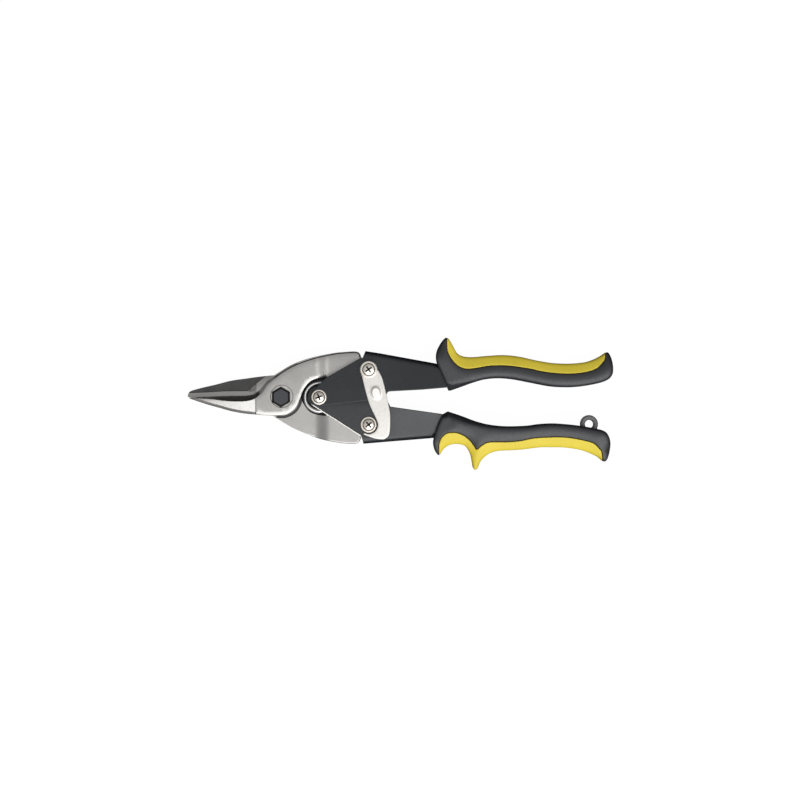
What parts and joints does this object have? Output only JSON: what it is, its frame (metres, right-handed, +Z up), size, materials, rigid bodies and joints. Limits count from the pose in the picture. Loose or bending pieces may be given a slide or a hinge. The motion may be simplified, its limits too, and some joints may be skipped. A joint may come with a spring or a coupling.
{
  "type": "aviation snips",
  "caption": "Compound-leverage sheet-metal snips with bypass jaws, pressed channel handles, a hooked latch plate and two-colour moulded grips.",
  "frame": {"origin": "on the blade pivot's axis, at the end face of the pivot bolt, which is one of the points the tool lies on", "axes": "+X from the blade pivot towards the grips (jaws point to -X); +Y towards the upper handle; +Z up, the side with the screw heads and the latch"},
  "size_m": [0.2504, 0.0777, 0.0223],
  "materials": {
    "ground_steel": "bead-blasted and ground tool steel, warm grey, satin",
    "black_oxide": "blackened steel, satin",
    "plated_steel": "nickel plated, bright",
    "bright_plate": "nickel plated strip, finely brushed, bright",
    "dark_coat": "electro-coated pressed steel, near black, semi-gloss",
    "spring_steel": "drawn spring wire, satin",
    "charcoal_grip": "moulded thermoplastic, charcoal, fine texture",
    "yellow_grip": "moulded soft thermoplastic, warm yellow, fine texture",
    "loop_plastic": "moulded loop, dark grey"
  },
  "bodies": {
    "lower_handle": {"lower_handle_channel": "dark_coat", "lower_grip_core": "charcoal_grip", "lower_grip_pad": "yellow_grip", "hanging_loop": "loop_plastic", "handle_pivot_screw": "plated_steel", "handle_pivot_bush": "plated_steel", "handle_pivot_nut": "plated_steel", "lower_tail_screw": "plated_steel", "lower_tail_washer_front": "plated_steel", "lower_tail_washer_back": "plated_steel", "lower_tail_nut": "plated_steel", "opening_spring": "spring_steel"},
    "upper_handle": {"upper_handle_channel": "dark_coat", "upper_grip_core": "charcoal_grip", "upper_grip_pad": "yellow_grip", "upper_tail_screw": "plated_steel", "upper_tail_spacer_front": "plated_steel", "upper_tail_spacer_back": "plated_steel", "upper_tail_nut": "plated_steel", "latch_washer": "plated_steel"},
    "far_blade_body": {"far_blade": "ground_steel", "blade_pivot_bolt": "black_oxide", "blade_pivot_washer": "plated_steel", "blade_pivot_nut": "black_oxide"},
    "near_blade_body": {"near_blade": "ground_steel"},
    "latch": {"latch_plate": "bright_plate"}
  },
  "joints": [
    {"name": "handle_open", "type": "hinge", "parent": "lower_handle", "child": "upper_handle", "pos_m": [0.0224, 0, 0.011], "axis": [0, 0, 1], "range_deg": [0, 36], "deforming": ["opening_spring"]},
    {"name": "far_blade_turn", "type": "hinge", "parent": "lower_handle", "child": "far_blade_body", "pos_m": [0.0516, -0.0162, 0.011], "axis": [0, 0, 1], "range_deg": [0, 9]},
    {"name": "jaw_open", "type": "hinge", "parent": "far_blade_body", "child": "near_blade_body", "pos_m": [0, 0, 0.011], "axis": [0, 0, 1], "range_deg": [0, 20]},
    {"name": "latch_swing", "type": "hinge", "parent": "upper_handle", "child": "latch", "pos_m": [0.0516, 0.0162, 0.0193], "axis": [0, 0, 1], "range_deg": [0, 28]}
  ],
  "couplings": [
    {"joint": "far_blade_turn", "follows": "handle_open", "ratio": 0.234},
    {"joint": "jaw_open", "follows": "handle_open", "ratio": 0.532}
  ]
}
